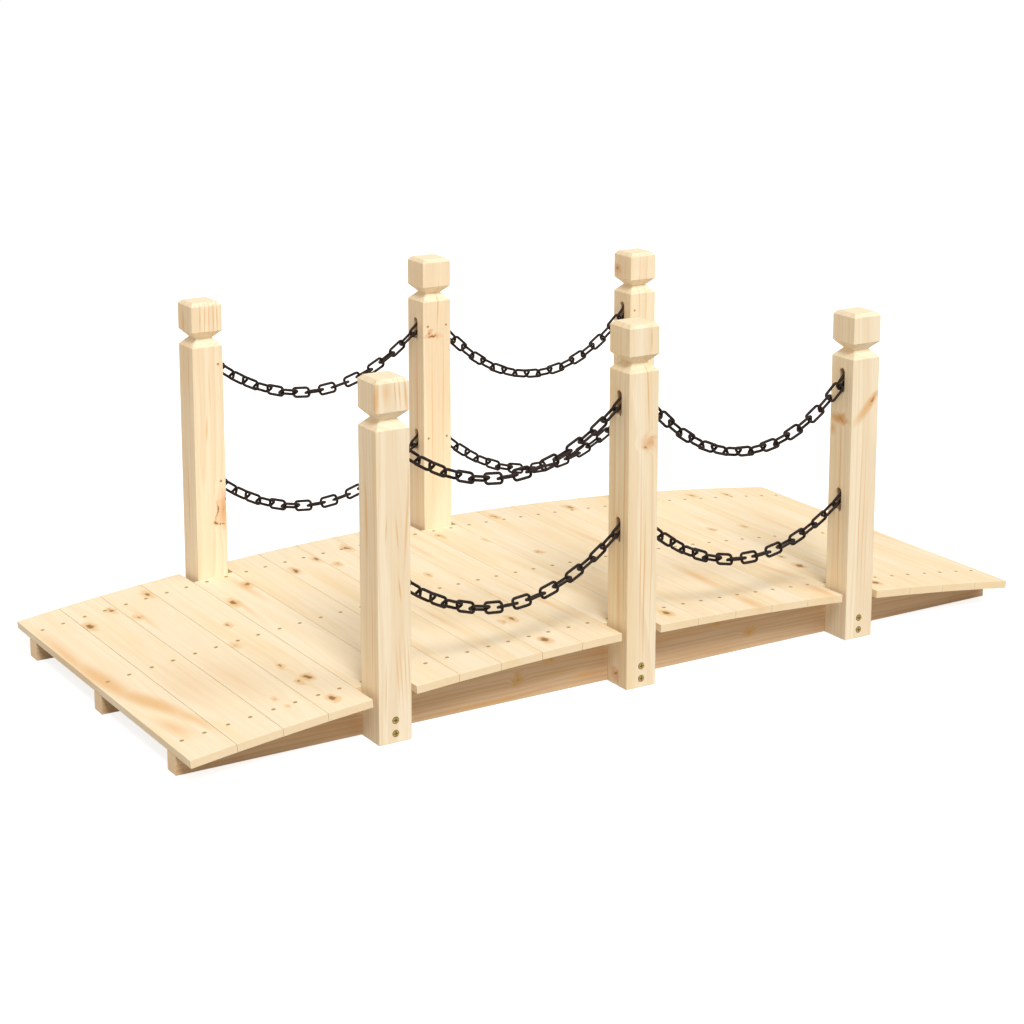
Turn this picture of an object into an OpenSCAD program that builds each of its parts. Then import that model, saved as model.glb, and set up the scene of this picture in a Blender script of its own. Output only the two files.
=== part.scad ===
// Arched garden bridge in pale spruce: a plank deck on three bowed stringers,
// six posts with routed necks, and two rows of hanging chain along each side.
// Millimetres, X along the bridge, +Z up, ground at Z = 0.

/* [Deck] */
// Width of one plank, measured along the bridge
plank_w = 71.2; // [50:0.1:100]
// Thickness of a plank
plank_t = 12.5; // [8:0.5:25]
// Open joint between neighbouring planks
plank_gap = 0.3; // [0.2:0.1:4]
// Rounding along the edges of a plank
plank_round = 0.5; // [0.25:0.25:3]
// Width of the deck, out to out of the planks
deck_w = 680; // [500:5:900]
// Planks from each end of the deck to the end posts
end_planks = 4; // [2:1:8]
// Planks between one post and the next
bay_planks = 5; // [4:1:8]

/* [Stringers] */
// Thickness of a stringer
stringer_t = 28; // [20:1:45]
// Height of a stringer at its ends
stringer_end_h = 29; // [20:1:60]
// Rise of the bowed top edge from the ends to the middle
stringer_rise = 52; // [30:1:90]

/* [Posts] */
// Side of the square posts
post_w = 54; // [48:1:70]
// Height of the four end posts
end_post_h = 541; // [500:1:700]
// How much taller the two middle posts are
middle_post_extra = 30.5; // [0:0.5:80]
// Height of the straight sides of a post's head
head_h = 42; // [30:1:60]
// Bevel round the top of a head
head_bevel = 6; // [2:0.5:12]
// Depth of the routed neck below the head
neck_depth = 13; // [6:0.5:16]
// Rounding on the upright edges of a post
post_round = 1.5; // [0.5:0.25:4]
// Gap between a post and the planks on each side of it
post_clear = 9; // [4:0.25:20]

/* [Chains] */
// Diameter of the chain wire
wire_d = 4.5; // [3:0.1:5]
// Width of a link, outside
link_w = 20; // [16:0.2:22]
// Length of a link, inside
link_inside_l = 24.9; // [20:0.1:32]
// Radius of a link's corners, at the middle of the wire
link_corner = 5; // [3:0.1:5.5]
// Sag of a chain below the line between its ends
chain_sag = 80; // [60:1:110]
// Sag of the slacker upper chains of the right-hand bay
slack_sag = 98; // [60:1:120]
// Lean of the end links in their slots
end_lean = 22; // [0:1:30]
// Half of the turn from one link to the next at the ends of a chain, 45 in its middle
link_splay = 30; // [28:1:45]
// Distance from the top of an end post down to its upper chain pins
upper_pin_drop = 104; // [95:1:140]
// Height of the lower chain pins of an end post above the crown of the deck
lower_pin_rise = 145.3; // [110:0.1:200]
// How much higher the pins are in the middle posts
middle_pin_raise = 18; // [0:1:60]
// Diameter of the pins that hold the end links
pin_d = 4; // [3:0.25:6]
// Distance from a post's side to the pins
pin_inset = 9; // [7:0.5:12]
// Wood left round the far end of a pin
pin_cover = 12; // [6:1:18]

/* [Fits] */
// Clearance between planks and the curve that they lie on
seat_gap = 0.2; // [0.1:0.05:0.5]
// Clearance between links, and between end links and pins
link_clear = 0.3; // [0.2:0.05:0.6]
// Clearance round a pin in its hole
pin_clear = 0.15; // [0.1:0.05:0.4]
// Clearance round an end link in its slot
slot_clear = 1.5; // [1:0.25:3]
// Clearance to each side of an end link in its slot
slot_side_clear = 1.25; // [1:0.25:4]

/* [Hidden] */
$fn = 32;
arc_fn = 1440;
cut = 1;

// Deck layout: a short plank lies between each pair of posts
plank_count = 2 * end_planks + 2 * bay_planks + 3;
post_rows = [for (j = [0:2]) end_planks + j * (bay_planks + 1)];
short_plank_w = post_w + 2 * post_clear - 2 * plank_gap;
function is_short(i) = len(search(i, post_rows)) > 0;
function shorts_before(i) = len([for (row = post_rows) if (row < i) row]);
function plank_start(i) = i * (plank_w + plank_gap) + shorts_before(i) * (short_plank_w - plank_w);
function plank_width(i) = is_short(i) ? short_plank_w : plank_w;
stringer_l = plank_start(plank_count) - plank_gap;

// Bowed top edge of the stringers
bow_r = (pow(stringer_l / 2, 2) + pow(stringer_rise, 2)) / (2 * stringer_rise);
bow_z = stringer_end_h + stringer_rise - bow_r;
bow_angle = 2 * asin(stringer_l / 2 / bow_r);
deck_top = stringer_end_h + stringer_rise + seat_gap + plank_t;
function plank_angle(i) = ((plank_start(i) + plank_width(i) / 2) / stringer_l - 0.5) * bow_angle;

// Posts
post_y = deck_w / 2 - post_w / 2;
post_face_y = deck_w / 2 - post_w;
function post_x(j) = bow_r * sin(plank_angle(post_rows[j]));
function post_h(j) = end_post_h + (j == 1 ? middle_post_extra : 0);
function pin_z(j, upper) =
    (upper ? end_post_h - upper_pin_drop : deck_top + lower_pin_rise) + (j == 1 ? middle_pin_raise : 0);
function pin_x(j, side) = post_x(j) + side * (post_w / 2 - pin_inset);
short_plank_l = 2 * (post_face_y - plank_gap);

// Hanging chains: each link's slope differs from the last by the same step
link_pitch = link_inside_l - link_clear;
pin_hold = (pin_d + link_clear) / 2;
bay_span = pin_x(1, -1) - pin_x(0, 1);
search_steps = 32;
function total(list) = len(list) == 0 ? 0 : [for (v = list) 1] * list;
function link_count(sag) = round(bay_span * (1 + 8 / 3 * pow(sag / bay_span, 2)) / link_pitch);
function slopes(n, lean, step) = [for (k = [0:n - 1]) atan(lean + step * (k - (n - 1) / 2))];
function reach(s) = link_pitch * total([for (b = s) cos(b)]) - pin_hold * (cos(s[0]) + cos(s[len(s) - 1]));
function climb(s) = link_pitch * total([for (b = s) sin(b)]) - pin_hold * (sin(s[0]) + sin(s[len(s) - 1]));
function find_lean(n, step, rise, lo = -2, hi = 2, turns = search_steps) =
    let (mid = (lo + hi) / 2)
    turns == 0 ? mid
    : climb(slopes(n, mid, step)) < rise ? find_lean(n, step, rise, mid, hi, turns - 1)
    : find_lean(n, step, rise, lo, mid, turns - 1);
function find_step(n, rise, lo = 0, hi = 1, turns = search_steps) =
    let (mid = (lo + hi) / 2)
    turns == 0 ? mid
    : reach(slopes(n, find_lean(n, mid, rise), mid)) > bay_span ? find_step(n, rise, mid, hi, turns - 1)
    : find_step(n, rise, lo, mid, turns - 1);
function hang(n, rise) = let (step = find_step(n, rise)) slopes(n, find_lean(n, step, rise), step);
function knots(s) = [for (k = [0:len(s)])
    [link_pitch * total([for (m = [0:1:k - 1]) cos(s[m])]) - pin_hold * cos(s[0]),
     link_pitch * total([for (m = [0:1:k - 1]) sin(s[m])]) - pin_hold * sin(s[0])]];

// Links lean to either side in turn, and an even number of them twists so that both end links lean alike
function chain_twist(n) = n % 2 == 0 ? 2 * link_splay : 0;
function link_roll(k, n) =
    let (along = k / (n - 1),
         splay = link_splay + (45 - link_splay) * sin(180 * along))
    end_lean - link_splay + chain_twist(n) * along + (k % 2 == 0 ? splay : -splay);

// Slots in the posts, as tall as the steepest end link needs and as wide as a whole-millimetre cutter
steepest = max([for (s = hang(link_count(max(chain_sag, slack_sag)), middle_pin_raise)) abs(s)]);
slot_above = link_w / 2 * cos(steepest) + (pin_hold + wire_d) * sin(steepest) + slot_clear;
slot_below = pin_inset * tan(steepest) + link_w / 2 / cos(steepest) + slot_clear;
slot_w = ceil((link_w - wire_d) * sin(end_lean) + wire_d + 2 * slot_side_clear);
slot_deep = pin_inset + pin_hold + wire_d + link_w / 2 * sin(steepest) + slot_clear;
pin_l = post_w - pin_cover;

SIDES = ["front", "back"];
PLACES = ["left", "middle", "right"];
BAYS = ["left", "right"];
LEVELS = ["lower", "upper"];
function two_digits(i) = i < 10 ? str("0", i) : str(i);
function plank_name(i) = str("deck_plank_", two_digits(i + 1));
function chain_name(side, bay, level) = str(side, "_", bay, "_", level, "_chain");

// Shapes that repeat

module rounded_rect(w, h, r) {
    square([w - 2 * r, h], center = true);
    square([w, h - 2 * r], center = true);
    for (x = [-1, 1], y = [-1, 1])
        translate([x * (w / 2 - r), y * (h / 2 - r)])
            circle(r);
}

module post_outline(h) {
    half = post_w / 2;
    head_z = h - head_bevel - head_h;
    neck_z = head_z - neck_depth;
    shoulder_z = neck_z - neck_depth;
    right = [[half, 0], [half, shoulder_z], [half - neck_depth, neck_z], [half, head_z],
             [half, h - head_bevel], [half - head_bevel, h]];
    left = [for (k = [len(right) - 1:-1:0]) [-right[k].x, right[k].y]];
    polygon(concat(right, left));
}

module upright_sheet(depth)
    translate([0, depth / 2, 0])
        rotate([90, 0, 0])
            linear_extrude(depth)
                children();

module chain_slot(z) {
    r = slot_w / 2;
    low = z - slot_below + r;
    high = z + slot_above - r;
    for (end_z = [low, high])
        translate([0, 0, end_z])
            rotate([0, 90, 0])
                cylinder(r = r, h = slot_deep + cut);
    translate([0, -r, low])
        cube([slot_deep + cut, slot_w, high - low]);
}

module chain_link() {
    bend_x = (link_inside_l + wire_d) / 2 - link_corner;
    bend_z = (link_w - wire_d) / 2 - link_corner;
    rotate([90, 0, 0]) {
        for (x = [0, 1], y = [0, 1])
            mirror([x, 0, 0])
                mirror([0, y, 0])
                    translate([bend_x, bend_z, 0])
                        rotate_extrude(angle = 90)
                            translate([link_corner, 0])
                                circle(d = wire_d);
        for (y = [-1, 1])
            translate([-bend_x, y * (bend_z + link_corner), 0])
                rotate([0, 90, 0])
                    cylinder(d = wire_d, h = 2 * bend_x);
        for (x = [-1, 1])
            translate([x * (bend_x + link_corner), bend_z, 0])
                rotate([90, 0, 0])
                    cylinder(d = wire_d, h = 2 * bend_z);
    }
}

module chain_pin(x, z, toward)
    translate([x, toward * post_face_y, z])
        rotate([-90 * toward, 0, 0])
            cylinder(d = pin_d, h = pin_l);

// Sub-parts

module stringer(y)
    color("burlywood")
        translate([0, y, 0])
            upright_sheet(stringer_t)
                intersection() {
                    translate([-stringer_l / 2, 0])
                        square([stringer_l, stringer_end_h + stringer_rise + cut]);
                    translate([0, bow_z])
                        circle(bow_r, $fn = arc_fn);
                }

module deck_plank(i) {
    length = is_short(i) ? short_plank_l : deck_w;
    color("moccasin")
        translate([0, 0, bow_z])
            rotate([0, plank_angle(i), 0])
                translate([0, 0, bow_r + seat_gap + plank_t / 2])
                    intersection() {
                        upright_sheet(length)
                            rounded_rect(plank_width(i), plank_t, plank_round);
                        rotate([0, 0, 90])
                            upright_sheet(plank_width(i))
                                rounded_rect(length, plank_t, plank_round);
                    }
}

module post(j, toward) {
    slot_sides = j == 0 ? [1] : j == 1 ? [-1, 1] : [-1];
    color("wheat")
        difference() {
            translate([post_x(j), toward * post_y, 0])
                intersection() {
                    upright_sheet(post_w)
                        post_outline(post_h(j));
                    rotate([0, 0, 90])
                        upright_sheet(post_w)
                            post_outline(post_h(j));
                    linear_extrude(post_h(j))
                        rounded_rect(post_w, post_w, post_round);
                }
            for (side = slot_sides, upper = [false, true]) {
                translate([post_x(j) + side * post_w / 2, toward * post_y, 0])
                    mirror([side > 0 ? 1 : 0, 0, 0])
                        translate([-cut, 0, 0])
                            chain_slot(pin_z(j, upper));
                translate([pin_x(j, side), toward * (post_face_y - cut), pin_z(j, upper)])
                    rotate([-90 * toward, 0, 0])
                        cylinder(d = pin_d + 2 * pin_clear, h = pin_l + cut + pin_clear);
            }
        }
}

module chain(toward, bay, upper) {
    sag = bay == 1 && upper ? slack_sag : chain_sag;
    rise = pin_z(bay + 1, upper) - pin_z(bay, upper);
    s = hang(link_count(sag), rise);
    k = knots(s);
    color("dimgray")
        translate([pin_x(bay, 1), toward * post_y, pin_z(bay, upper)])
            for (m = [0:len(s) - 1])
                translate([(k[m].x + k[m + 1].x) / 2, 0, (k[m].y + k[m + 1].y) / 2])
                    rotate([0, -s[m], 0])
                        rotate([link_roll(m, len(s)), 0, 0])
                            chain_link();
}

module chain_pins(toward)
    color("silver")
        for (bay = [0, 1], upper = [false, true], far = [0, 1])
            chain_pin(pin_x(bay + far, 1 - 2 * far), pin_z(bay + far, upper), toward);

stringer_places = [-post_face_y + stringer_t / 2, 0, post_face_y - stringer_t / 2];
for (i = [0:2])
    stringer(stringer_places[i]);
for (i = [0:plank_count - 1])
    deck_plank(i);
for (side = [0, 1], j = [0:2])
    post(j, side * 2 - 1);
for (side = [0, 1], bay = [0, 1], level = [0, 1])
    chain(side * 2 - 1, bay, level == 1);
for (side = [0, 1])
    chain_pins(side * 2 - 1);
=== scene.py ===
"""Looks of the arched garden bridge: planed spruce boards, coated chain, deck nails and post screws."""
import math
from collections import namedtuple

import bmesh
import bpy
from mathutils import Euler, Matrix, Vector


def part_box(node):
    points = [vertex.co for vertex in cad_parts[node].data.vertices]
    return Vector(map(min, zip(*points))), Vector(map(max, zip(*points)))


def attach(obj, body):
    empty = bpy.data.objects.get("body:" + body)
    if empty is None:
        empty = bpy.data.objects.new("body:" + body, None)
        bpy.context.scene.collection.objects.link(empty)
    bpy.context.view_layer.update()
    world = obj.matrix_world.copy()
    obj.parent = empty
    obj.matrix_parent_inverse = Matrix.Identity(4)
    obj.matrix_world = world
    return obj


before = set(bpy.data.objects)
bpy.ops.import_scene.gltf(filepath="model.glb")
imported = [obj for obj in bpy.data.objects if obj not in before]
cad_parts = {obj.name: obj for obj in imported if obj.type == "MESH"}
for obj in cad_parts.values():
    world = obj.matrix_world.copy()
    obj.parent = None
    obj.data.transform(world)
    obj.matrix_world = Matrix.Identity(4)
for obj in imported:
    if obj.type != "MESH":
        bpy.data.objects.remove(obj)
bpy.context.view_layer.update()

MM = 0.001


def middle(node):
    low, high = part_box(node)
    return (low + high) / 2


def half_size(node):
    """Half a node's size along each axis, in millimetres."""
    low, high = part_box(node)
    return (high - low) / 2 / MM


# Boards, each with its own millimetre frame: X across the board, Y along the grain, Z out of its face

Board = namedtuple("Board", "node centre turn grain seed tone knots streaks")
# The colours of a kind of board, and how much of its growth rings and fibres shows
Stock = namedtuple("Stock", "pale honey late ends halo rings fibres")
# A knot, a streak or a patch of painted shade: its middle, its half sizes, its upper end's lean to +X in
# degrees, and how dark it is
Mark = namedtuple("Mark", "x y z half_x half_y half_z lean strength")

# Knots in the deck by plank number, as (across, along, half width, strength) from the plank's middle
PLANK_KNOTS = {
    2: [(26, 265, 5, 0.9), (-28, 225, 6, 1)],
    3: [(27, 288, 6, 0.88), (-28, 204, 5, 0.8), (-2, -239, 3, 0.7), (2, -275, 3, 0.7)],
    4: [(2, 71, 4, 0.88), (-27, -15, 5, 0.74), (-12, -136, 4, 0.9), (1, -202, 5, 1), (-16, -211, 4, 0.85),
        (-6, -296, 5, 1)],
    5: [(26, 214, 6, 0.88), (-27, 154, 6, 1)],
    7: [(-24, 222, 6, 0.95), (34, 252, 5, 0.85)],
    8: [(-23, 208, 5, 0.8), (30, 272, 6, 0.88)],
    9: [(2, 67, 4, 0.82), (2, -191, 5, 0.92), (-16, -195, 4, 0.75), (-4, -300, 5, 1)],
    11: [(-22, 241, 5, 0.85), (34, 179, 5, 0.78)],
    12: [(5, 74, 4, 0.8), (6, -297, 5, 1)],
    13: [(-22, 292, 5, 0.85)],
    15: [(-15, 288, 6, 0.9)],
    17: [(3, 69, 4, 0.8), (10, -118, 4, 0.85), (6, -175, 5, 1)],
    18: [(3, 70, 4, 0.8), (-7, -300, 5, 1)],
    19: [(-21, 293, 5, 0.88)],
    20: [(-19, 288, 5, 0.88)],
}
# Warm streaks in the deck by plank number, the broad weak ones on planks 2 and 3 a painted soft shadow, as
# (across, along, half width, half length, lean, strength)
PLANK_STREAKS = {
    1: [(-24, 140, 20, 200, 1, 0.7), (-18, 10, 22, 170, -4, 0.95), (2, -120, 22, 150, -13, 0.95),
        (22, -205, 20, 130, -13, 0.7), (-9, -225, 24, 80, -8, 0.6)],
    # Painted soft shadow across planks 2 and 3
    2: [(0, -100, 55, 190, 0, 0.37)],
    3: [(-20, 200, 10, 120, 1, 0.5), (-14, -130, 55, 190, 0, 0.37)],
    5: [(18, 200, 12, 110, -2, 0.6), (-20, 120, 9, 130, 2, 0.5)],
    8: [(22, 150, 12, 150, 1, 0.5), (-18, -120, 9, 140, -1, 0.5)],
    10: [(14, -150, 12, 170, -2, 0.6), (-20, 190, 10, 120, 1, 0.5)],
    13: [(16, -80, 12, 150, 1, 0.5)],
    14: [(-14, 60, 12, 180, -1, 0.5), (17, -165, 18, 110, 2, 0.7), (13, -312, 18, 65, 0, 0.7)],
    16: [(18, -305, 18, 90, 0, 0.7), (21, -180, 15, 100, -8, 0.6), (-18, 90, 10, 160, 0, 0.5)],
    19: [(12, 60, 12, 160, 1, 0.5)],
    21: [(20, 40, 14, 220, 0, 0.6)],
}
# On a post X runs to the right and Z to the front: the Z of its front face and the X of its left face
FRONT, LEFT = half_size("front_left_post").y, -half_size("front_left_post").x
POST_KNOTS = {
    "back_left_post": [Mark(21, -80, FRONT, 9, 22, 18, 0, 0.7), Mark(8, -82, FRONT, 1.5, 14, 10, 10, 0.95),
                       Mark(5, -101, FRONT, 2, 4, 10, 0, 1), Mark(11, -103, FRONT, 2, 4, 10, 0, 1),
                       Mark(18, -104, FRONT, 4, 2, 10, 0, 1), Mark(24, -62, FRONT, 2, 3, 10, 0, 1)],
    "front_middle_post": [Mark(9, 103, FRONT, 9, 8, 20, 0, 0.66), Mark(2, 98, FRONT, 2, 5, 8, -30, 0.88),
                          Mark(13, 110, FRONT, 4, 1.6, 8, 0, 0.8), Mark(16, 101, FRONT, 1.6, 3, 8, 0, 0.8),
                          Mark(LEFT, -268, -2, 12, 6, 7, 0, 0.82)],
    "front_right_post": [Mark(14, 130, FRONT, 3, 8, 10, 44, 0.8), Mark(LEFT, 96, 0, 8, 4, 13, 0, 0.8)],
    "back_middle_post": [Mark(-7, 152, FRONT, 9, 3, 8, 0, 0.94), Mark(-11, 159, FRONT, 3, 4, 8, 0, 0.85)],
    "back_right_post": [Mark(LEFT, 238, -14, 12, 7, 7, 0, 0.8)],
}
POST_STREAKS = {
    "front_left_post": [Mark(LEFT, 63, -5, 20, 90, 5, 0, 0.9), Mark(LEFT, -90, 8, 20, 120, 3, 0, 0.7),
                        Mark(6, 44, FRONT, 2, 40, 22, -4, 0.8), Mark(-11, 52, FRONT, 2, 30, 22, 4, 0.7),
                        Mark(20, 60, FRONT, 3, 110, 22, 3, 0.7), Mark(9, -40, FRONT, 2, 26, 22, -5, 1),
                        Mark(3, -165, FRONT, 2, 80, 22, -3, 0.6), Mark(9, -172, FRONT, 2, 85, 22, -3, 0.6),
                        Mark(15, -160, FRONT, 2, 90, 22, -2, 0.6), Mark(21, -165, FRONT, 2, 90, 22, -2, 0.6),
                        Mark(-16, -190, FRONT, 2, 70, 22, 2, 0.6), Mark(-24, 243, FRONT, 5, 40, 20, 3, 1),
                        Mark(-8, 252, FRONT, 11, 26, 24, 0, 0.5), Mark(6, 250, FRONT, 2, 36, 24, -4, 0.8),
                        Mark(13, 250, FRONT, 2, 36, 24, -4, 0.8), Mark(22, 245, FRONT, 3, 38, 24, -3, 0.9)],
    "front_middle_post": [Mark(8, 102, FRONT, 13, 12, 20, 0, 0.5),
                          Mark(5, 180, FRONT, 2, 90, 25, -2, 1), Mark(12, 262, FRONT, 2, 26, 20, 0, 1),
                          Mark(-6, -80, FRONT, 2, 220, 25, 0, 0.8), Mark(1, -130, FRONT, 2, 170, 25, 0, 1),
                          Mark(14, -60, FRONT, 2, 230, 25, 0, 0.7), Mark(LEFT, 0, 17, 20, 320, 3, 0, 0.8),
                          Mark(LEFT, 40, -8, 20, 260, 4, 0, 0.6), Mark(LEFT, -120, 4, 20, 200, 8, 0, 0.6)],
    "front_right_post": [Mark(0, 115, FRONT, 12, 46, 18, 44, 1), Mark(LEFT, 95, -3, 16, 13, 26, 0, 1),
                         Mark(LEFT, 76, -18, 14, 16, 12, 0, 0.7), Mark(-7, -60, FRONT, 2, 230, 25, 0, 0.7),
                         Mark(2, -80, FRONT, 2, 220, 25, 0, 0.6), Mark(10, -120, FRONT, 2, 170, 25, 0, 0.5),
                         Mark(LEFT, -40, 2, 20, 250, 3, 0, 0.9)],
    "back_left_post": [Mark(-12, 245, FRONT, 2, 44, 24, 3, 0.8), Mark(-3, 245, FRONT, 2, 44, 24, 3, 0.9),
                       Mark(5, 245, FRONT, 2, 44, 24, 2, 0.8), Mark(13, 245, FRONT, 2, 44, 24, 0, 0.8),
                       Mark(20, 245, FRONT, 2, 44, 24, 0, 0.8), Mark(-8, 60, FRONT, 2, 30, 24, 3, 0.9),
                       Mark(0, 130, FRONT, 2, 60, 24, -1, 0.6), Mark(21, -82, FRONT, 15, 34, 18, 0, 0.45),
                       Mark(LEFT, 235, -8, 12, 40, 12, 0, 0.8),
                       Mark(LEFT, 150, 8, 20, 90, 3, 0, 0.8), Mark(LEFT, -60, -4, 20, 120, 5, 0, 0.8)],
    "back_middle_post": [Mark(3, 205, FRONT, 2, 60, 24, 2, 0.9), Mark(12, 40, FRONT, 2, 200, 24, 0, 0.6),
                         Mark(-8, 0, FRONT, 2, 220, 24, 0, 0.6), Mark(LEFT, 20, 4, 20, 240, 6, 0, 0.8)],
    "back_right_post": [Mark(-6, 200, FRONT, 2, 120, 24, 0, 0.6), Mark(10, 180, FRONT, 2, 140, 24, 0, 0.6)],
}
# How honey-coloured a post is as a whole, -1 to 1, and how strongly painted shade darkens and warms the left
# faces of some posts, drawn as a streak that covers the face
POST_TONES, PLAIN_POST_TONE = {"front_middle_post": 0.5}, -1
SHADED_LEFT_FACES = {"front_left_post": 0.25, "back_left_post": 0.39,
                   "back_middle_post": 0.34, "back_right_post": 0.33}
LEFT_FACE_SHADE = Mark(LEFT, 0, 0, 6, 1500, 90, 0, 1)
# Slots for the chains' ends, with warm brown painted shade inside: heights at an end post, how much higher
# at a middle one, and the streak of painted shade at a slot in a right face
SLOT_HEIGHTS, MIDDLE_SLOT_RAISE = (239, 437), 18
SLOT_SHADE = Mark(20, 0, 0, 10, 44, 18, 0, 1)
SLOT_SIDES = {"left": [1], "middle": [-1, 1], "right": [-1]}
# On a stringer X runs to the front, Y along the bridge and Z up: the X of the front one's outer face
OUTER = half_size("front_stringer").y
STRINGER_KNOTS = {
    "front_stringer": [Mark(OUTER, -189, -9, 20, 7, 5, 0, 0.74), Mark(OUTER, -133, 12, 20, 7, 4, 0, 0.74),
                       Mark(OUTER, 184, 13, 20, 6, 4, 0, 0.74), Mark(OUTER, 247, -13, 20, 8, 5, 0, 0.74)],
}
STRINGER_STREAKS = {
    "front_stringer": [Mark(OUTER, -68, -26, 20, 40, 8, 0, 0.8), Mark(OUTER, -250, -34, 20, 160, 5, 0, 0.8),
                       Mark(OUTER, -120, -12, 20, 90, 4, 0, 0.6), Mark(OUTER, 60, 6, 20, 260, 5, 0, 0.5)],
}

PLANKS = sorted(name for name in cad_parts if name.startswith("deck_plank_"))
POSTS = sorted(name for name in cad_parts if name.endswith("_post"))
STRINGERS = sorted(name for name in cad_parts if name.endswith("_stringer"))
CHAINS = sorted(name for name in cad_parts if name.endswith("_chain"))
PINS = sorted(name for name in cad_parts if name.endswith("_pins"))

# The planks' middles lie on one circle, so the first and the highest give its radius and each plank's tilt
first, crown = middle(PLANKS[0]), middle(PLANKS[len(PLANKS) // 2])
plank_circle = (first.x ** 2 + (crown.z - first.z) ** 2) / (2 * (crown.z - first.z))
plank_half_t = half_size(PLANKS[len(PLANKS) // 2]).z


def plank_turn(node):
    return Euler((0, math.asin(middle(node).x / plank_circle), 0))


# Painted shade in each slot of a post
def shaded_slots(node):
    raised = MIDDLE_SLOT_RAISE if "middle" in node else 0
    return [SLOT_SHADE._replace(x=SLOT_SHADE.x * side, y=height + raised - middle(node).z / MM)
            for side in SLOT_SIDES[node.split("_")[1]] for height in SLOT_HEIGHTS]


# A plank's knots are longer than wide by this much, and its marks go right through it by these half depths
KNOT_STRETCH, KNOT_DEPTH, STREAK_DEPTH = 1.9, 40, 60
# Painted light: the planks are paler to the left and more honey to the right, to even out the light along
# the arch: tone in the middle, and how much is added from there to the right end
MIDDLE_TONE, TONE_RISE_AS_PAINTED_LIGHT = -0.1, 0.6

# Each board's number seeds its own grain
boards = []
for number, node in enumerate(PLANKS, start=1):
    knots = [Mark(x, y, 0, half_w, KNOT_STRETCH * half_w, KNOT_DEPTH, 0, dark)
             for x, y, half_w, dark in PLANK_KNOTS.get(number, [])]
    streaks = [Mark(x, y, 0, half_w, half_l, STREAK_DEPTH, lean, dark)
               for x, y, half_w, half_l, lean, dark in PLANK_STREAKS.get(number, [])]
    # Painted light along the deck
    tone = TONE_RISE_AS_PAINTED_LIGHT * middle(node).x / abs(first.x) + MIDDLE_TONE
    boards.append(Board(node, middle(node), plank_turn(node), (0, 1, 0), number, tone, knots, streaks))
for number, node in enumerate(POSTS, start=31):
    streaks = POST_STREAKS[node] + shaded_slots(node)
    # Painted shade over the post's left face
    if node in SHADED_LEFT_FACES:
        streaks.append(LEFT_FACE_SHADE._replace(strength=SHADED_LEFT_FACES[node]))
    boards.append(Board(node, middle(node), Euler((math.radians(90), 0, 0)), (0, 0, 1), number,
                        POST_TONES.get(node, PLAIN_POST_TONE), POST_KNOTS.get(node, []), streaks))
for number, node in enumerate(STRINGERS, start=41):
    boards.append(Board(node, middle(node), Euler((0, 0, math.radians(-90))), (1, 0, 0), number, 0,
                        STRINGER_KNOTS.get(node, []), STRINGER_STREAKS.get(node, [])))


# Materials


def linear(code):
    """An sRGB hex colour as linear red, green, blue and alpha."""
    parts = [int(code[k:k + 2], 16) / 255 for k in (1, 3, 5)]
    return [p / 12.92 if p <= 0.04045 else ((p + 0.055) / 1.055) ** 2.4 for p in parts] + [1.0]


def add(tree, kind, inputs, stops=(), out=0, **settings):
    """Adds a node with its settings, values, links and ramp stops, and gives one of its outputs."""
    node = tree.nodes.new(kind)
    for name, value in settings.items():
        setattr(node, name, value)
    for name, value in inputs.items():
        if isinstance(value, bpy.types.NodeSocket):
            tree.links.new(value, node.inputs[name])
        else:
            node.inputs[name].default_value = value
    for k, (place, colour) in enumerate(stops):
        stop = node.color_ramp.elements[k] if k < 2 else node.color_ramp.elements.new(place)
        stop.position, stop.color = place, colour
    return node.outputs[out] if node.outputs else node


def new_material(name):
    material = bpy.data.materials.new(name)
    material.use_nodes = True
    material.node_tree.nodes.clear()
    return material, material.node_tree


def grey(value):
    return [value, value, value, 1.0]


def nearness(tree, place, marks, reach):
    """How near a point is to the marks: a mark's strength at its middle, 0 at reach times its half sizes."""
    nearest = None
    for mark in marks:
        own = add(tree, "ShaderNodeMapping",
                  {"Vector": place, "Location": mark[:3], "Rotation": (0, 0, math.radians(-mark.lean)),
                   "Scale": [reach * half for half in mark[3:6]]}, vector_type="TEXTURE")
        away = add(tree, "ShaderNodeVectorMath", {0: own}, out="Value", operation="LENGTH")
        near = add(tree, "ShaderNodeMapRange", {"Value": away, "To Min": mark.strength, "To Max": 0})
        nearest = near if nearest is None else add(
            tree, "ShaderNodeMath", {0: nearest, 1: near}, operation="MAXIMUM")
    return nearest


# Spruce in millimetres. Real growth rings are 2 to 4 mm wide and fibres under 1 mm: both are drawn coarser
# so that they show
RING_W, FIBRE_W, FIBRE_L = 7, 2.5, 90
# Broad soft bands of tone, and how far a board's own tone shifts them
BAND_W, BAND_L, BAND_SHIFT = 26, 300, 0.15
# The grain wanders by a few millimetres over this width and length
WANDER_W, WANDER_L, WANDER = 60, 400, (16, 0, 16)
# Knots have ragged edges, a few millimetres in and out over this width, and push the rings aside
RAGGED_W, RAGGED, RINGS_PUSHED = 12, (14, 24, 14), 1.6
KNOT_REACH, STREAK_REACH = 3, 1
KNOT_COLOUR, STREAK_AND_SHADE_COLOUR = "#87561B", "#E3B06C"
# How near to a knot its orange halo and its brown heart begin and are full, and the most of each that shows
KNOT_HALO, KNOT_HEART = (0.15, 0.65, 0.6), (0.62, 0.8, 0.9)
# Fibres stand this proud where the plane has left them
FIBRE_H = 0.3
NOISE_MIDDLE = (0.5, 0.5, 0.5)
# Rings run straight along a board, so they are this long
ENDLESS = 1e6


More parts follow.
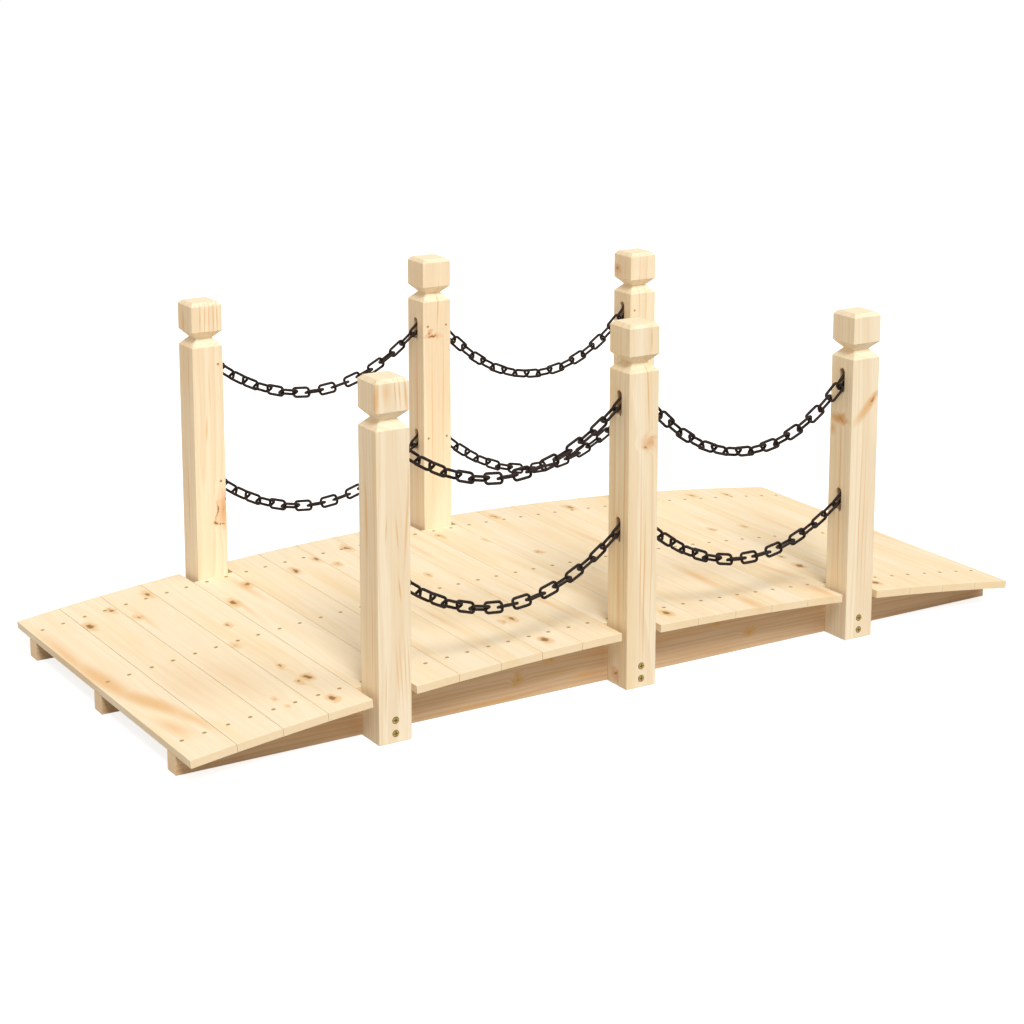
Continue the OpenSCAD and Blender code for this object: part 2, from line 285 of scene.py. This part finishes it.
def spruce(name, board, stock):
    """Spruce without paint: pale cream early wood, honey late wood in low contrast, brown knots with an
    orange halo, and a dull sheen in which the fibres only just show. Planed boards are pale and even, sawn
    ones have clearer rings, with darker sides as painted shade and paler ends."""
    material, tree = new_material(name)
    place = add(tree, "ShaderNodeTexCoord", {}, out="Object")
    mm = add(tree, "ShaderNodeMapping", {"Vector": place, "Location": board.centre, "Rotation": board.turn,
                                         "Scale": (MM, MM, MM)}, vector_type="TEXTURE")

    slow = add(tree, "ShaderNodeMapping",
               {"Vector": mm, "Scale": (1 / WANDER_W, 1 / WANDER_L, 1 / WANDER_W)})
    wander = add(tree, "ShaderNodeTexNoise",
                 {"Vector": slow, "W": board.seed * 3.7, "Scale": 1, "Detail": 1},
                 out="Color", noise_dimensions="4D")
    off_centre = add(tree, "ShaderNodeVectorMath", {0: wander, 1: NOISE_MIDDLE}, operation="SUBTRACT")
    bent = add(tree, "ShaderNodeVectorMath", {0: off_centre, 1: WANDER, 2: mm}, operation="MULTIPLY_ADD")

    close = add(tree, "ShaderNodeTexNoise",
                {"Vector": mm, "W": board.seed * 0.9, "Scale": 1 / RAGGED_W, "Detail": 2},
                out="Color", noise_dimensions="4D")
    off_edge = add(tree, "ShaderNodeVectorMath", {0: close, 1: NOISE_MIDDLE}, operation="SUBTRACT")
    ragged = add(tree, "ShaderNodeVectorMath", {0: off_edge, 1: RAGGED, 2: bent}, operation="MULTIPLY_ADD")
    knot = nearness(tree, ragged, board.knots, KNOT_REACH)
    streak_and_shade = nearness(tree, bent, board.streaks, STREAK_REACH)

    # Growth rings round a pith line outside the board, each board with its own, some years wider than others
    pith_x, pith_z = (board.seed * 37) % 71 - 35, -35 - (board.seed * 23) % 45
    lean = math.radians((board.seed * 13) % 5 - 2) * 0.4
    rings = add(tree, "ShaderNodeMapping",
                {"Vector": bent, "Location": (pith_x, 0, pith_z), "Rotation": (lean, 0, -lean),
                 "Scale": (RING_W, ENDLESS, RING_W)}, vector_type="TEXTURE")
    count = add(tree, "ShaderNodeVectorMath", {0: rings}, out="Value", operation="LENGTH")
    if knot:
        count = add(tree, "ShaderNodeMath", {0: knot, 1: RINGS_PUSHED, 2: count}, operation="MULTIPLY_ADD")
    years = add(tree, "ShaderNodeTexNoise", {"W": count, "Scale": 0.6, "Detail": 2}, noise_dimensions="1D")
    uneven = add(tree, "ShaderNodeMath", {0: years, 1: 2.2, 2: count}, operation="MULTIPLY_ADD")
    year = add(tree, "ShaderNodeMath", {0: uneven}, operation="FRACT")
    # A year is pale for its first half and then darkens to a line of late wood
    ring = add(tree, "ShaderNodeValToRGB", {"Fac": year},
               stops=[(0, grey(0.12)), (1, grey(0.1)), (0.45, grey(0.2)), (0.85, grey(1))])

    long_fibres = add(tree, "ShaderNodeMapping",
                      {"Vector": bent, "Scale": (1 / FIBRE_W, 1 / FIBRE_L, 1 / FIBRE_W)})
    fibre = add(tree, "ShaderNodeTexNoise",
                {"Vector": long_fibres, "W": board.seed * 1.3, "Scale": 1, "Detail": 3},
                noise_dimensions="4D")
    broad = add(tree, "ShaderNodeMapping", {"Vector": bent, "Scale": (1 / BAND_W, 1 / BAND_L, 1 / BAND_W)})
    band = add(tree, "ShaderNodeTexNoise", {"Vector": broad, "W": board.seed * 2.1, "Scale": 1, "Detail": 2},
               noise_dimensions="4D")

    # Layers over the pale early wood, each as how much of it shows and its colour
    warmth = BAND_SHIFT * board.tone
    layers = [(add(tree, "ShaderNodeMapRange",
                   {"Value": band, "From Min": 0.38 - warmth, "From Max": 0.72 - warmth},
                   interpolation_type="SMOOTHSTEP"), stock.honey),
              (add(tree, "ShaderNodeMath", {0: ring, 1: stock.rings}, operation="MULTIPLY"), stock.late),
              (add(tree, "ShaderNodeMapRange",
                   {"Value": fibre, "From Min": 0.45, "From Max": 0.8, "To Max": stock.fibres}), stock.late)]
    # Streaks, and the painted shade drawn as streaks
    if streak_and_shade:
        layers.append((add(tree, "ShaderNodeMapRange", {"Value": streak_and_shade, "From Max": 0.8, "To Max": 0.75},
                           interpolation_type="SMOOTHSTEP"), STREAK_AND_SHADE_COLOUR))
    if knot:
        for (begins, full, most), tint in ((KNOT_HALO, stock.halo), (KNOT_HEART, KNOT_COLOUR)):
            layers.append((add(tree, "ShaderNodeMapRange",
                               {"Value": knot, "From Min": begins, "From Max": full, "To Max": most},
                               interpolation_type="SMOOTHSTEP"), tint))
    # End grain shows an even tone of its own
    normal = add(tree, "ShaderNodeNewGeometry", {}, out="Normal")
    facing = add(tree, "ShaderNodeVectorMath", {0: normal, 1: board.grain},
                 out="Value", operation="DOT_PRODUCT")
    along = add(tree, "ShaderNodeMath", {0: facing}, operation="ABSOLUTE")
    layers.append((add(tree, "ShaderNodeMapRange",
                       {"Value": along, "From Min": 0.75, "From Max": 0.95, "To Max": 0.6}), stock.ends))
    colour = linear(stock.pale)
    for share, tint in layers:
        colour = add(tree, "ShaderNodeMix", {0: share, 6: colour, 7: linear(tint)}, out=2, data_type="RGBA")

    rough = add(tree, "ShaderNodeMapRange", {"Value": fibre, "To Min": 0.5, "To Max": 0.7})
    height = add(tree, "ShaderNodeMath", {0: ring, 1: 0.4, 2: fibre}, operation="MULTIPLY_ADD")
    bump = add(tree, "ShaderNodeBump", {"Height": height, "Strength": 0.25, "Distance": FIBRE_H * MM})
    wood = add(tree, "ShaderNodeBsdfPrincipled",
               {"Base Color": colour, "Roughness": rough, "Normal": bump, "IOR": 1.5})
    add(tree, "ShaderNodeOutputMaterial", {"Surface": wood})
    return material


def coated_steel():
    """Chain steel under a dark brown-black coating: half matt, with a slight orange peel and thin spots."""
    material, tree = new_material("coated_chain_steel")
    patch_w, peel_w, peel_h = 9 * MM, 1.2 * MM, 0.1 * MM
    place = add(tree, "ShaderNodeTexCoord", {}, out="Object")
    patches = add(tree, "ShaderNodeTexNoise", {"Vector": place, "Scale": 1 / patch_w, "Detail": 3})
    peel = add(tree, "ShaderNodeTexNoise", {"Vector": place, "Scale": 1 / peel_w, "Detail": 1})
    colour = add(tree, "ShaderNodeValToRGB", {"Fac": patches},
                 stops=[(0.3, linear("#1C100C")), (0.75, linear("#33221B")), (0.55, linear("#22150F"))])
    rough = add(tree, "ShaderNodeMapRange", {"Value": patches, "To Min": 0.45, "To Max": 0.7})
    bump = add(tree, "ShaderNodeBump", {"Height": peel, "Strength": 0.15, "Distance": peel_h})
    coat = add(tree, "ShaderNodeBsdfPrincipled",
               {"Base Color": colour, "Roughness": rough, "Normal": bump, "IOR": 1.5,
                "Specular IOR Level": 0.2})
    add(tree, "ShaderNodeOutputMaterial", {"Surface": coat})
    return material


def bare_metal(name, bright, dull, roughness, grit):
    """Bare or plated metal with a drawn surface: soft reflections broken by scratches and duller patches,
    grit millimetres apart, which is coarser than real ones so that they show."""
    scratch_depth = 0.05 * MM
    material, tree = new_material(name)
    place = add(tree, "ShaderNodeTexCoord", {}, out="Object")
    scratch = add(tree, "ShaderNodeTexNoise", {"Vector": place, "Scale": 1 / (grit * MM), "Detail": 4})
    colour = add(tree, "ShaderNodeValToRGB", {"Fac": scratch},
                 stops=[(0.3, linear(dull)), (0.7, linear(bright))])
    rough = add(tree, "ShaderNodeMapRange",
                {"Value": scratch, "To Min": roughness + 0.12, "To Max": roughness - 0.08})
    bump = add(tree, "ShaderNodeBump", {"Height": scratch, "Strength": 0.2, "Distance": scratch_depth})
    metal = add(tree, "ShaderNodeBsdfPrincipled",
                {"Base Color": colour, "Metallic": 1.0, "Roughness": rough, "Normal": bump})
    add(tree, "ShaderNodeOutputMaterial", {"Surface": metal})
    return material


plank_stock = Stock("#F8E9CD", "#F4DEB6", "#E1C095", "#EFD6AC", "#DDAB5E", 0.17, 0.18)
post_stock = Stock("#F9EBD0", "#F4E0BA", "#E1BF92", "#F6E6C4", "#DC9D62", 0.34, 0.28)
# Painted shade: the stringers' sides are darker, for the shade under the deck, and their ends paler
stringer_stock = Stock("#EACBA4", "#E0B98C", "#C29163", "#F6DDB6", "#DCA548", 0.38, 0.3)
for board in boards:
    if board.node in PLANKS:
        wood = spruce("planed_spruce_" + board.node, board, plank_stock)
    elif board.node in POSTS:
        wood = spruce("planed_spruce_" + board.node, board, post_stock)
    else:
        wood = spruce("sawn_spruce_" + board.node, board, stringer_stock)
    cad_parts[board.node].data.materials.clear()
    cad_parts[board.node].data.materials.append(wood)
chain_coat = coated_steel()
# Pins and nails have the dull yellow of zinc plating, and the screws a brighter brass, with painted shade in
# a darker brass on the rim and in the recess
pin_steel = bare_metal("yellow_zinc_plated_pin", "#D0AC7C", "#A98555", 0.45, 1.5)
nail_steel = bare_metal("yellow_zinc_plated_nail", "#CDB07A", "#A58750", 0.6, 1.2)
screw_brass = bare_metal("brass_plated_screw", "#C6AE74", "#94793F", 0.4, 1.0)
# Painted shade for the screws' rims and cross recesses
shaded_brass = bare_metal("brass_plating_in_painted_shade", "#6F5A30", "#4A3A1C", 0.55, 1.0)
for node in CHAINS + PINS:
    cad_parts[node].data.materials.clear()
    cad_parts[node].data.materials.append(chain_coat if node in CHAINS else pin_steel)


# Nails and screws: the rings of points on a head as shares of its radius, how far it falls from middle to
# rim as a share of its rise, and where the rim with painted shade begins
HEAD_RINGS = (1.0, 0.96, 0.85, 0.72, 0.6, 0.48, 0.36, 0.24, 0.12)
HEAD_FALL, SHADED_RIM = 0.5, 0.8


def turned_head(mesh, place, rim, rise, segments, recess=None):
    """A round head on the XY plane of place: rings of points from the rim in, sunk where recess says. With a
    recess, the rim and the sunk part take the piece's second material, which paints the shade there."""
    rings = []
    for share in HEAD_RINGS:
        ring = []
        for k in range(segments):
            turn = 2 * math.pi * k / segments
            x, y = rim * share * math.cos(turn), rim * share * math.sin(turn)
            z = 0 if share == 1.0 else rise * (1 - HEAD_FALL * share ** 2)
            if recess and share < 1.0:
                z -= recess(x, y)
            ring.append(mesh.verts.new(place @ Vector((x, y, z)) * MM))
        rings.append(ring)
    faces = [mesh.faces.new((outer[k - 1], outer[k], inner[k], inner[k - 1]))
             for outer, inner in zip(rings, rings[1:]) for k in range(segments)]
    faces.append(mesh.faces.new(rings[-1]))
    if recess:
        for face in faces:
            spot = place.inverted() @ (face.calc_center_median() / MM)
            face.material_index = int(spot.xy.length > SHADED_RIM * rim or recess(spot.x, spot.y) > 0)


def piece_from(mesh, name, materials):
    data = bpy.data.meshes.new(name)
    mesh.to_mesh(data)
    mesh.free()
    for material in materials:
        data.materials.append(material)
    data.polygons.foreach_set("use_smooth", [True] * len(data.polygons))
    piece = bpy.data.objects.new(name, data)
    bpy.context.scene.collection.objects.link(piece)
    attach(piece, "root")


# Two nails a plank over each stringer, heads driven flush
nail_apart, nail_rim, nail_rise, nail_sides = 17.5, 3.4, 0.3, 12
heads = bmesh.new()
for node in PLANKS:
    seat = Matrix.Translation(middle(node) / MM) @ plank_turn(node).to_matrix().to_4x4()
    for stringer in STRINGERS:
        for across in (-nail_apart, nail_apart):
            spot = Matrix.Translation((across, middle(stringer).y / MM, plank_half_t))
            turned_head(heads, seat @ spot, nail_rim, nail_rise, nail_sides)
piece_from(heads, "deck_nails", [nail_steel])

# Two screws a post near the ground, through to the stringer behind
screw_rim, screw_rise, screw_sides, screw_heights = 5.5, 0.9, 48, (14.3, 34.5)
recess_arm, recess_half_w, recess_depth = 3.6, 0.75, 0.405


def cross_recess(x, y):
    inside = min(abs(x), abs(y)) < recess_half_w and max(abs(x), abs(y)) < recess_arm
    return recess_depth if inside else 0


heads = bmesh.new()
for node in POSTS:
    low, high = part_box(node)
    side = -1 if node.startswith("front") else 1
    face = low.y if side < 0 else high.y
    for height in screw_heights:
        spot = Matrix.Translation((middle(node).x / MM, face / MM, height))
        outward = Matrix.Rotation(math.radians(90) * -side, 4, "X")
        turned_head(heads, spot @ outward, screw_rim, screw_rise, screw_sides, cross_recess)
piece_from(heads, "post_screws", [screw_brass, shaded_brass])


# Studio: pale floor, white surround, a large soft lamp from the front and weaker ones from both sides


def white_to_the_eye(tree):
    """1 on rays from the camera and in reflections, 0 on the rays that light the bridge."""
    seen = 0.0
    for ray in ("Is Camera Ray", "Is Glossy Ray", "Is Transmission Ray"):
        path = add(tree, "ShaderNodeLightPath", {}, out=ray)
        seen = add(tree, "ShaderNodeMath", {0: seen, 1: path}, operation="MAXIMUM")
    return seen


# The floor lies just under the feet, so that it doesn't share a plane with them
FLOOR_HALF_M, FLOOR_DROP = 12, 0.5


def floor_sheet():
    """Matt pale floor paint, which keeps the bridge's soft shadow and glows to the eye up to white."""
    material, tree = new_material("pale_studio_floor")
    paint = add(tree, "ShaderNodeBsdfDiffuse", {"Color": linear("#B4B4B4")})
    glow = add(tree, "ShaderNodeEmission", {"Color": linear("#E8E8E8"), "Strength": white_to_the_eye(tree)})
    mixed = add(tree, "ShaderNodeAddShader", {0: paint, 1: glow})
    add(tree, "ShaderNodeOutputMaterial", {"Surface": mixed})
    mesh = bmesh.new()
    bmesh.ops.create_grid(mesh, x_segments=1, y_segments=1, size=FLOOR_HALF_M)
    data = bpy.data.meshes.new("floor")
    mesh.to_mesh(data)
    mesh.free()
    data.materials.append(material)
    floor = bpy.data.objects.new("floor", data)
    floor.location.z = -FLOOR_DROP * MM
    bpy.context.scene.collection.objects.link(floor)


floor_sheet()

world = bpy.data.worlds.new("studio")
bpy.context.scene.world = world
world.use_nodes = True
tree = world.node_tree
tree.nodes.clear()
ambient = add(tree, "ShaderNodeBackground", {"Color": linear("#FFF3DF"), "Strength": 0.46})
white = add(tree, "ShaderNodeBackground", {"Color": linear("#FFFFFF"), "Strength": 1.0})
shown = add(tree, "ShaderNodeMixShader", {0: white_to_the_eye(tree), 1: ambient, 2: white})
add(tree, "ShaderNodeOutputWorld", {"Surface": shown})


def far_lamp(name, side, height, wide, level, tint):
    """A far soft lamp, side degrees to the right of the front, height degrees up and wide degrees across. It
    lights a white sheet that faces it to level, where 1 is white."""
    lamp = bpy.data.lights.new(name, "SUN")
    lamp.angle, lamp.energy, lamp.color = math.radians(wide), math.pi * level, linear(tint)[:3]
    side, height = math.radians(side), math.radians(height)
    toward = Vector((math.sin(side) * math.cos(height), -math.cos(side) * math.cos(height),
                     math.sin(height)))
    lamp_object = bpy.data.objects.new(name, lamp)
    lamp_object.rotation_euler = toward.to_track_quat("Z", "Y").to_euler()
    bpy.context.scene.collection.objects.link(lamp_object)


far_lamp("key", -17, 50, 19, 0.6, "#FFFFFF")
far_lamp("side", 38, 47, 30, 0.24, "#FFFFFF")
far_lamp("fill", -84, 15, 40, 0.07, "#FFE4BE")

# Camera at the photo's angle: lens and shift as its perspective and framing ask
camera_side, camera_height, camera_away = math.radians(-31.56), math.radians(11.74), 3.902
camera_aim = Vector((0.017, 0.067, 0.516))
back = Vector((math.sin(camera_side) * math.cos(camera_height),
               -math.cos(camera_side) * math.cos(camera_height), math.sin(camera_height)))
lens = bpy.data.cameras.new("camera")
lens.sensor_width, lens.lens, lens.shift_y = 36, 83.53, -0.1953
camera = bpy.data.objects.new("camera", lens)
camera.location = camera_aim + back * camera_away
camera.rotation_euler = back.to_track_quat("Z", "Y").to_euler()
bpy.context.scene.collection.objects.link(camera)
bpy.context.scene.camera = camera
bpy.context.scene.view_settings.view_transform = "Standard"
